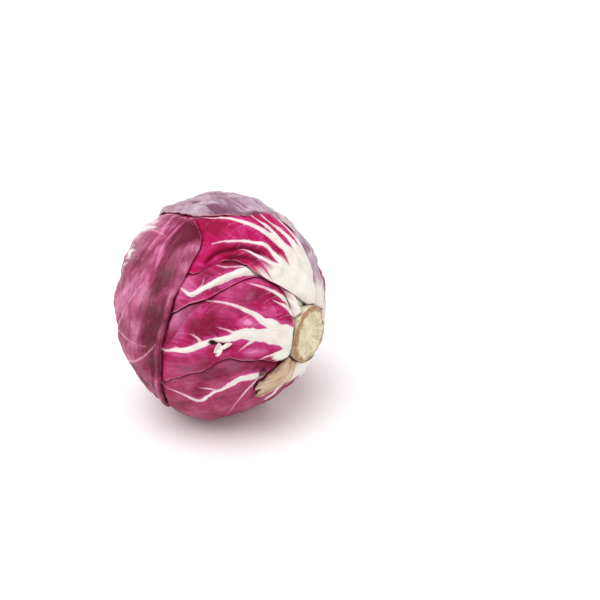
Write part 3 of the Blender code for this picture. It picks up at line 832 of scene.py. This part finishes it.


# Depth is one pitch for each leaf above. Relief is ribs, swelling between them, crumples, a fleshy foot,
# folds, swells, a rolled lip and a raised margin, and it fades to nothing under another leaf. Crests,
# gullies, folds and the lip paint light and shade into the blade's tint, and each leaf above throws an uneven
# painted shade past its margin
def buildOuterLeaf(number):
    leaf = outerLeaves[number]
    u, v, along, across, direction, toSide, toEnd = leafGrid(leaf, *leaf["grid"])
    squeeze = np.cos(np.radians(across))
    edge = np.maximum(np.minimum(toSide, toEnd * squeeze), 0)
    inner, arch = ease(edge / 5), np.sqrt(np.clip(1 - v**2, 0, 1))
    place = direction * form["side"]

    def noise(size, step):
        return waves(place, size, leaf["seed"] + step)

    depth, bare, thrown = np.zeros(along.shape), np.ones(along.shape), np.zeros(along.shape)
    for above in outerLeaves[:number]:
        past = pastMargin(above, direction)
        depth += layering["pitch"] * (1 - ease(past / layering["rise"]))
        bare *= ease(past / layering["smooth"])
        width, strength = above["shadow"]
        uneven = np.clip(0.62 + 0.42 * waves(place, 0.016, above["seed"] + 17), 0.1, 1.0)
        thrown = np.maximum(thrown, strength * uneven * (1 - ease(past / width)) * ease((along - 22) / 22))

    paths = leaf["ribs"] + (grownRibs(leaf) if leaf["grown"] else [])
    ribs = [(path, leaf["lifts"].get(k, veins["lift"])) for k, path in enumerate(paths)]
    for k, path in enumerate(paths):
        if path[0][2] > veins["twigsFrom"]:
            ribs += [(twig, veins["twigLift"]) for twig in twigs(path, leaf["seed"] + 7 * k)]
    inside, size, ribHeight = ribFields(ribs, along, across, noise(0.006, 10))

    heights, sizes = zip(*layering["crumples"])
    crest, gully = 1 - np.abs(noise(sizes[2], 18)), 1 - np.abs(noise(sizes[3], 19))
    crumple = heights[0] * (1.2 + noise(sizes[0], 11)) + heights[1] * (1 + noise(sizes[1], 12))
    crumple = crumple + heights[2] * crest - heights[3] * gully
    relief = ribHeight + layering["pucker"] * np.sqrt(np.clip(-inside, 0, 6) / 6) * inner
    relief += leaf["crumple"] * crumple * inner
    relief += layering["fleshy"] * (1 - ease((along - footStart(leaf, v)) / 22)) * arch
    relief += 0.001 * leaf["dome"] * arch * ease(u * 3)

    paleFrom, paleTo = leaf["pale"]
    fields = {
        # Noise, with painted light on the crests and painted shade in the gullies
        "tint": 0.25 * noise(0.02, 15) + 0.45 * (crest - 0.45) - 0.25 * (gully - 0.4),
        "shade": thrown,
        "bloomAndSheen": leaf["bloomAndSheenAmount"] * (0.65 + 0.35 * noise(0.045, 14)) * ease((along - 20) / 25),
        "pale": np.clip(1 - ease((along - paleFrom) / (paleTo - paleFrom)), 0, 1),
    }
    for fold in leaf["folds"]:
        gap, side, down = nearLine(smoothLine(fold["path"]), along, across)
        fade = ease(np.minimum(down, 1 - down) / layering["foldFade"])
        groove = bell(gap / fold["half"]) * fade
        relief -= 0.001 * fold["depth"] * groove
        stepUp = fade * np.where(side > 0, -1, 1) * bell(gap / 6) * (1 - np.exp(-gap))
        relief += 0.001 * fold.get("step", 0.0) * stepUp
        # The fold's tint is painted light and shade to each side of it
        leftTint, rightTint = fold["tint"]
        fields["tint"] += np.where(side > 0, rightTint, leftTint) * fade * bell(gap / fold.get("reach", 4.5))
        if fold["depth"] > layering["shadedFold"]:
            fields["shade"] = np.maximum(fields["shade"], 0.7 * groove)
    for key, marks in leaf["marks"].items():
        power = 2 if key in ("tint", "bloomAndSheen") else 5  # pale and shade marks have firmer edges
        for markAlong, markAcross, reachAlong, reachAcross, amount in marks:
            apart = np.hypot((along - markAlong) * squeeze / reachAlong, (across - markAcross) / reachAcross)
            fields[key] = fields[key] + amount * np.exp(-(apart**power))
    for swellAlong, swellAcross, radius, height in leaf["swells"]:
        apart = np.hypot((along - swellAlong) * squeeze, across - swellAcross)
        relief += 0.001 * height * bell(apart / radius)

    if "lip" in leaf:  # a half tube along the end, with a valley and dark lines beside it
        lip = leaf["lip"]
        share = ease((across - lip["from"]) / lip["fade"]) * ease((lip["to"] - across) / lip["fade"])
        share = share * ease((along - 200) / 20)
        tube = np.sqrt(np.clip(1 - ((edge - lip["radius"]) / lip["radius"]) ** 2, 0, 1))
        behind = bell((edge - 2.5 * lip["radius"]) / 0.8) * share
        relief += 0.001 * lip["height"] * tube * share - 0.0003 * behind
        # Painted highlight along the tube's crest, painted shade in the valley behind it and right at the
        # margin
        ridge = bell((edge - lip["radius"] * 0.9) / 0.6)
        fields["tint"] += share * (0.5 * ridge - 0.9 * behind - 0.8 * bell(edge / 0.7))
    roll = np.clip(1 - edge / 4, 0, 1) ** 2 * ease((along - 26) / 15)
    relief += 0.001 * leaf["edgeLift"] * roll * np.clip(0.7 + 0.7 * noise(0.018, 13), 0.05, 1.8)

    points = centre + direction * (formRadius(direction) - depth + relief * bare)[..., None]
    points[..., 2] = np.maximum(points[..., 2], 0.0)

    if "rubbed" in leaf:
        rub = leaf["rubbed"]
        wipe = ease(rub["to"] - along + 1.5 * waves(place, 0.010, 3))
        wipe = wipe * ease((rub["across"] - across) / rub["soft"])
        bright = ease((rub["brightAcross"] - across) / 6 + 1) * (1 - wipe)
        bright = bright * ease((rub["brightTo"] - along) / 8)
        fields["bloomAndSheen"] = fields["bloomAndSheen"] * (1 - wipe)
        fields["tint"] = fields["tint"] - 0.5 * wipe + 0.5 * bright
    fields["bloomAndSheen"] = np.clip(fields["bloomAndSheen"] * ease(bare), 0, 0.85)
    fields["shade"] = np.clip(fields["shade"], 0, leaf["deepest"])
    fields["pale"] = np.clip(fields["pale"], 0, 1)
    w, s = np.radians(across), np.radians(along)
    fields.update(rib=inside, ribSize=size, edge=np.clip(edge, 0, 9),
                  fan=np.degrees(np.arctan2(np.sin(w), np.cos(w) * np.sin(s))))
    piece = gridMesh(leaf["name"], points, fields, np.stack([along, across], -1))
    finishPiece(piece, leafMaterial(leaf["name"] + "_skin", leaf["look"]),
                leaf.get("node", "outer_" + leaf["name"]), leaf["thickness"])


for leafNumber in range(len(outerLeaves)):
    buildOuterLeaf(leafNumber)
print("outer leaves:", len(outerLeaves))


# Two curls of torn skin on the front leaf
tear = {
    "azimuth": 75,
    "thickness": 0.0004,
    "raise": 0.0013,       # height of a curl's foot over the head's form
    # each curl: along, across, length, radius, first and last angle round it, and the turn of its axis
    "curls": [(54.0, 3.9, 0.0058, 0.0018, -50, 205, 72), (50.0, 1.9, 0.0050, 0.0013, -40, 175, 222)],
    "skew": 0.0013,        # how far a curl's end leans along its axis
    "look": dict(magentaLook, edgeShow=0.6, foot=tone(0.93, 0.88, 0.86), streak=0.6),
}


# A strip rolled round an axis that lies on the leaf, with a ragged end. Its radius shrinks to that end and to
# both sides
def buildTear():
    skin = leafMaterial("tear_skin", tear["look"])
    a, b = np.meshgrid(np.linspace(-1, 1, 40), np.linspace(0, 1, 48), indexing="ij")
    for k, (along, across, length, radius, first, last, twist) in enumerate(tear["curls"]):
        up = leafDirection(tear["azimuth"], np.array(along), np.array(across))
        onwards = leafDirection(tear["azimuth"], np.array(along + 1.0), np.array(across)) - up
        onwards /= np.linalg.norm(onwards)
        turn = math.radians(twist)
        axis = math.cos(turn) * onwards + math.sin(turn) * np.cross(up, onwards)
        aside = np.cross(up, axis)
        ragged = 1 - 0.10 * (1 + waves(a[..., None], 0.7, 400 + k))
        angle = np.radians(first + (last - first) * b * ragged)
        shrunk = radius * (1 - 0.25 * b) * (1 - 0.35 * a**2)
        base = centre + up * (float(formRadius(up)) + tear["raise"])
        leaning = a * (1 - 0.4 * b) * length / 2 + tear["skew"] * b * (1 - 2 * k)
        points = (base + axis * leaning[..., None] + aside * (shrunk * np.sin(angle))[..., None]
                  + up * (shrunk * (1 - np.cos(angle)))[..., None])
        edge = 3 * np.minimum(1 - np.abs(a), 1 - b)
        fields = {"rib": -5.0, "ribSize": 0.1, "edge": edge, "shade": 0.0, "bloomAndSheen": 0.0, "fan": 40 * a,
                  "tint": 0.5, "pale": 1.0}
        piece = gridMesh(f"tear_curl_{k + 1}", points, fields, np.stack([40 + 4 * a, 6 * b], -1))
        finishPiece(piece, skin, thickness=tear["thickness"])


buildTear()
print("curls at the tear:", len(tear["curls"]))

# Inner leaves, each inside the last
innerLeaves = {
    "count": 16,
    "depth": 0.0140,       # thickness of the stack of outer leaves
    "smallest": 0.30,      # size of the innermost leaf against the outermost
    "firstAzimuth": 60.0,
    "turn": 137.508,       # degrees from each leaf to the next
    "length": 195.0,
    "side": [(16, 13), (52, 40), (88, 54), (124, 56), (160, 50), (195, 22)],
    "midrib": 3.4, "thickness": 0.0006, "grid": (64, 44),
    "crinkle": 0.0008,     # depth of the crinkles in the blade
    "look": dict(magentaLook, deep=tone(0.45, 0.0, 0.08), blade=tone(0.66, 0.02, 0.18),
                 bright=tone(0.80, 0.22, 0.38), bloomAndSheen=tone(0.7, 0.2, 0.35)),
}


# Radius is the head's form less the outer stack, times a share that falls from leaf to leaf, less crinkles
def buildInnerLeaves():
    skin = leafMaterial("inner_leaf_skin", innerLeaves["look"])
    for k in range(innerLeaves["count"]):
        leaf = dict(plainLeaf, azimuth=(innerLeaves["firstAzimuth"] + innerLeaves["turn"] * k) % 360,
                    seed=200 + 10 * k, length=innerLeaves["length"], midrib=innerLeaves["midrib"],
                    right=innerLeaves["side"], left=innerLeaves["side"])
        share = 1 - (1 - innerLeaves["smallest"]) * k / (innerLeaves["count"] - 1)
        _, _, along, across, direction, toSide, toEnd = leafGrid(leaf, *innerLeaves["grid"])
        edge = np.maximum(np.minimum(toSide, toEnd), 0)
        ribs = [(path, veins["lift"]) for path in grownRibs(leaf)]
        inside, size, height = ribFields(ribs, along, across, np.zeros(along.shape))
        crinkle = innerLeaves["crinkle"] * (1 + waves(direction, 0.25, leaf["seed"] + 6)) * ease(edge / 6)
        radius = (formRadius(direction) - innerLeaves["depth"]) * share
        points = centre + direction * (radius - share * (crinkle - 0.6 * height))[..., None]
        fields = {"rib": inside, "ribSize": size, "edge": edge, "shade": 0.0, "bloomAndSheen": 0.0, "fan": across,
                  "tint": 0.4 * waves(direction, 0.5, leaf["seed"] + 7),
                  "pale": np.clip(1 - ease((along - 18) / 30), 0, 1)}
        piece = gridMesh(f"inner_leaf_{k + 1:02d}_blade", points, fields, np.stack([along, across], -1))
        finishPiece(piece, skin, f"inner_leaf_{k + 1:02d}", innerLeaves["thickness"])


buildInnerLeaves()
print("inner leaves:", innerLeaves["count"])

heart = {"share": 0.25, "ridges": 3, "ridgeHeight": 0.0009, "grid": (72, 96)}
stem = {
    # share of the radius and depth in metres below the cut's highest point, from its middle outwards
    "cut": [(0.0, 0.0016), (0.25, 0.0012), (0.5, 0.0009), (0.72, 0.0004), (0.86, 0.0), (0.95, 0.0002),
            (1.0, 0.0010)],
    "wobble": 0.035,       # how far the outline is from round
    "sawn": 0.00025,       # roughness of the cut
    "rows": 90, "columns": 160,
}


# Radius is a share of the inner form, with shallow ridges that wind from foot to tip like furled leaves
def buildHeart():
    rows, columns = heart["grid"]
    theta, phi = np.linspace(0, math.pi, rows), np.linspace(0, 2 * math.pi, columns)
    theta, phi = np.meshgrid(theta, phi, indexing="ij")
    direction = np.stack([np.cos(theta), -np.sin(theta) * np.sin(phi), np.sin(theta) * np.cos(phi)], -1)
    winding = heart["ridges"] * phi + 4 * theta
    ridge = np.abs(np.sin(winding / 2)) ** 0.5 * np.sin(theta)
    radius = (formRadius(direction) - innerLeaves["depth"]) * heart["share"]
    radius = radius - heart["ridgeHeight"] * (1 - ridge)
    points = centre + direction * radius[..., None]
    points[0], points[-1] = points[0].mean(axis=0), points[-1].mean(axis=0)
    points[:, -1] = points[:, 0]
    ribLike = 0.5 - np.abs(np.sin(winding / 2)) * 4
    fields = {"rib": ribLike, "ribSize": 0.5, "edge": 9.0, "shade": 0.0, "bloomAndSheen": 0.0, "fan": np.degrees(phi),
              "tint": 0.3, "pale": np.clip(1 - ease(theta / 1.2), 0, 1)}
    piece = gridMesh("heart", points, fields, np.stack([np.degrees(theta), np.degrees(phi)], -1))
    finishPiece(piece, leafMaterial("heart_skin", innerLeaves["look"]), "heart_bud")


# Turned profile: the cut's shallow dish, its rim, and a cone that narrows inside the head
def buildStem():
    low, high = (np.array(corner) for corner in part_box("stem_core"))
    reach, middle = (high[1] - low[1]) / 2, (low + high) / 2
    share, depth = np.array(stem["cut"]).T
    profile = np.stack([share * reach, high[0] - depth], 1)
    bottom = low[0] + 0.001
    cone = np.stack([np.linspace(0.97, 0.30, 6) * reach, np.linspace(high[0] - 0.003, bottom, 6)], 1)
    profile = np.concatenate([profile, cone, [[0.0, bottom]]])
    place = np.linspace(0, 1, len(profile))
    down = np.linspace(0, 1, stem["rows"])
    radius = np.interp(down, place, profile[:, 0])
    lengthwise = np.interp(down, place, profile[:, 1])
    angle = np.linspace(0, 2 * math.pi, stem["columns"])
    around = np.stack([np.cos(angle), np.sin(angle)], -1)
    outline = 1 + stem["wobble"] * waves(around, 1.6, 301) + 0.012 * waves(around, 0.5, 302)
    disc = radius[:, None, None] * around
    points = np.empty((stem["rows"], stem["columns"], 3))
    points[..., 0] = lengthwise[:, None] + stem["sawn"] * waves(disc, 0.004, 303)
    points[..., 1:] = middle[1:] + disc * outline[:, None]
    points[0], points[-1] = points[0].mean(axis=0), points[-1].mean(axis=0)
    points[:, -1] = points[:, 0]
    onCut = np.where(down < place[len(stem["cut"]) - 1], 1.0, 0.0)
    fields = {"ring": (radius / reach)[:, None], "cut": onCut[:, None], "turn": np.degrees(angle)[None, :]}
    piece = gridMesh("stem", points, fields, 1000 * disc)
    finishPiece(piece, stemMaterial(), "stem_core")


# Ivory flesh, browned at the rim and in patches, with a ring of darker vessel dots and fine radial cracks
def stemMaterial():
    n = Nodes("stem_flesh")
    here = n.add("ShaderNodeTexCoord", out=3)
    leafMap = n.add("ShaderNodeUVMap", settings={"uv_map": "LeafMap"})
    ring, cut = n.field("ring"), n.field("cut")
    clouds, grain = n.noise(here, 160.0, 5.0, 0.6), n.noise(here, 900.0, 4.0, 0.6)
    flesh = n.mix(n.ramp(clouds, 0.35, 0.7), tone(0.88, 0.84, 0.72), tone(0.80, 0.73, 0.56))
    worn = n.ramp(n.swing(clouds, 0.35, ring), 0.74, 0.93)
    flesh = n.mix(n.times(worn, cut), flesh, tone(0.60, 0.43, 0.26))
    cells = n.add("ShaderNodeTexVoronoi", settings={"feature": "F1"}, Vector=leafMap, Scale=0.75)
    band = n.times(n.ramp(ring, 0.42, 0.56), n.ramp(ring, 0.66, 0.80, 1.0, 0.0))
    dots = n.times(n.times(n.ramp(cells, 0.16, 0.34, 1.0, 0.0), band), cut)
    flesh = n.mix(n.times(dots, 0.6), flesh, tone(0.62, 0.48, 0.30))
    radial = n.add("ShaderNodeCombineXYZ", i0=n.times(n.field("turn"), 0.12), i1=n.times(ring, 0.9))
    cracks = n.times(n.lines(n.noise(radial, 1.0, 3.0), 0.02), n.ramp(ring, 0.1, 0.4))
    flesh = n.mix(n.times(cracks, 0.4), flesh, tone(0.58, 0.44, 0.30))
    flesh = n.mix(n.ramp(grain, 0.4, 0.75, 0.0, 0.3), flesh, tone(0.93, 0.90, 0.82))
    n.put(n.shader.inputs["Base Color"], flesh)
    n.put(n.shader.inputs["Roughness"], n.ramp(clouds, 0.3, 0.7, 0.48, 0.68))
    n.plain(Subsurface_Weight=0.08, Subsurface_Radius=(0.003, 0.002, 0.001), Subsurface_Scale=1.0)
    relief = n.math("MULTIPLY_ADD", cracks, -0.5, n.times(grain, 0.8))
    relief = n.math("MULTIPLY_ADD", dots, -0.5, relief)
    n.put(n.shader.inputs["Normal"], n.add("ShaderNodeBump", Height=relief, Distance=0.0006, Strength=0.7))
    return n.material


buildHeart()
buildStem()
print("heart and stem built")


camera = {
    "lens": 95.0,
    "azimuth": 32.0,
    "elevation": 30.0,
    "distance": 0.795,
    "aimRight": 0.0424,    # the head stands left of the middle of the view
    "aimUp": 0.0023,
}
studio = {
    "floorSize": 9.0,
    "floorTone": (0.95, 0.95, 0.95, 1.0),
    "worldStrength": 0.63,
    # each light is far off and soft: right, up, towards the camera, width in degrees, strength
    "lights": [(-0.30, 0.92, 0.10, 72.0, 2.5), (0.65, 0.60, 0.45, 60.0, 0.5)],
}


# The camera's right, up and backward directions
def viewAxes():
    turn, rise = math.radians(camera["azimuth"]), math.radians(camera["elevation"])
    back = Vector((math.sin(turn) * math.cos(rise), -math.cos(turn) * math.cos(rise), math.sin(rise)))
    right = Vector((math.cos(turn), math.sin(turn), 0.0))
    return right, back.cross(right), back


def buildCamera():
    right, up, back = viewAxes()
    made = bpy.data.objects.new("camera", bpy.data.cameras.new("camera"))
    bpy.context.scene.collection.objects.link(made)
    made.data.lens = camera["lens"]
    made.data.sensor_width = 36.0
    made.data.clip_start = 0.01
    aim = Vector(centre) + right * camera["aimRight"] + up * camera["aimUp"]
    made.location = aim + back * camera["distance"]
    made.rotation_euler = Matrix((right, up, back)).transposed().to_euler()
    bpy.context.scene.camera = made


# A pale floor, far soft lights, and a world that lights softly but shows white behind the floor
def buildStudio():
    bpy.ops.mesh.primitive_plane_add(size=studio["floorSize"])
    floor = bpy.context.object
    floor.name = "floor"
    paint = bpy.data.materials.new("floor_paint")
    paint.use_nodes = True
    shader = paint.node_tree.nodes["Principled BSDF"]
    shader.inputs["Base Color"].default_value = studio["floorTone"]
    shader.inputs["Roughness"].default_value = 0.7
    shader.inputs["Specular IOR Level"].default_value = 0.2
    floor.data.materials.append(paint)
    right, _, back = viewAxes()
    flatBack = Vector((back.x, back.y, 0)).normalized()
    for k, (aside, height, near, width, strength) in enumerate(studio["lights"]):
        data = bpy.data.lights.new(f"soft_light_{k + 1}", "SUN")
        data.angle, data.energy = math.radians(width), strength
        made = bpy.data.objects.new(data.name, data)
        bpy.context.scene.collection.objects.link(made)
        made.location = Vector(centre) + right * aside + Vector((0, 0, height)) + flatBack * near
        made.rotation_euler = (made.location - Vector(centre)).to_track_quat("Z", "Y").to_euler()
    world = bpy.data.worlds.new("studio")
    world.use_nodes = True
    tree = world.node_tree
    soft, backdrop = tree.nodes["Background"], tree.nodes.new("ShaderNodeBackground")
    soft.inputs["Color"].default_value = backdrop.inputs["Color"].default_value = (1, 1, 1, 1)
    soft.inputs["Strength"].default_value = studio["worldStrength"]
    rays, both = tree.nodes.new("ShaderNodeLightPath"), tree.nodes.new("ShaderNodeMixShader")
    tree.links.new(rays.outputs["Is Camera Ray"], both.inputs[0])
    tree.links.new(soft.outputs[0], both.inputs[1])
    tree.links.new(backdrop.outputs[0], both.inputs[2])
    tree.links.new(both.outputs[0], tree.nodes["World Output"].inputs["Surface"])
    bpy.context.scene.world = world
    bpy.context.scene.view_settings.view_transform = "Standard"


buildCamera()
buildStudio()
print("floor, lights and camera placed")
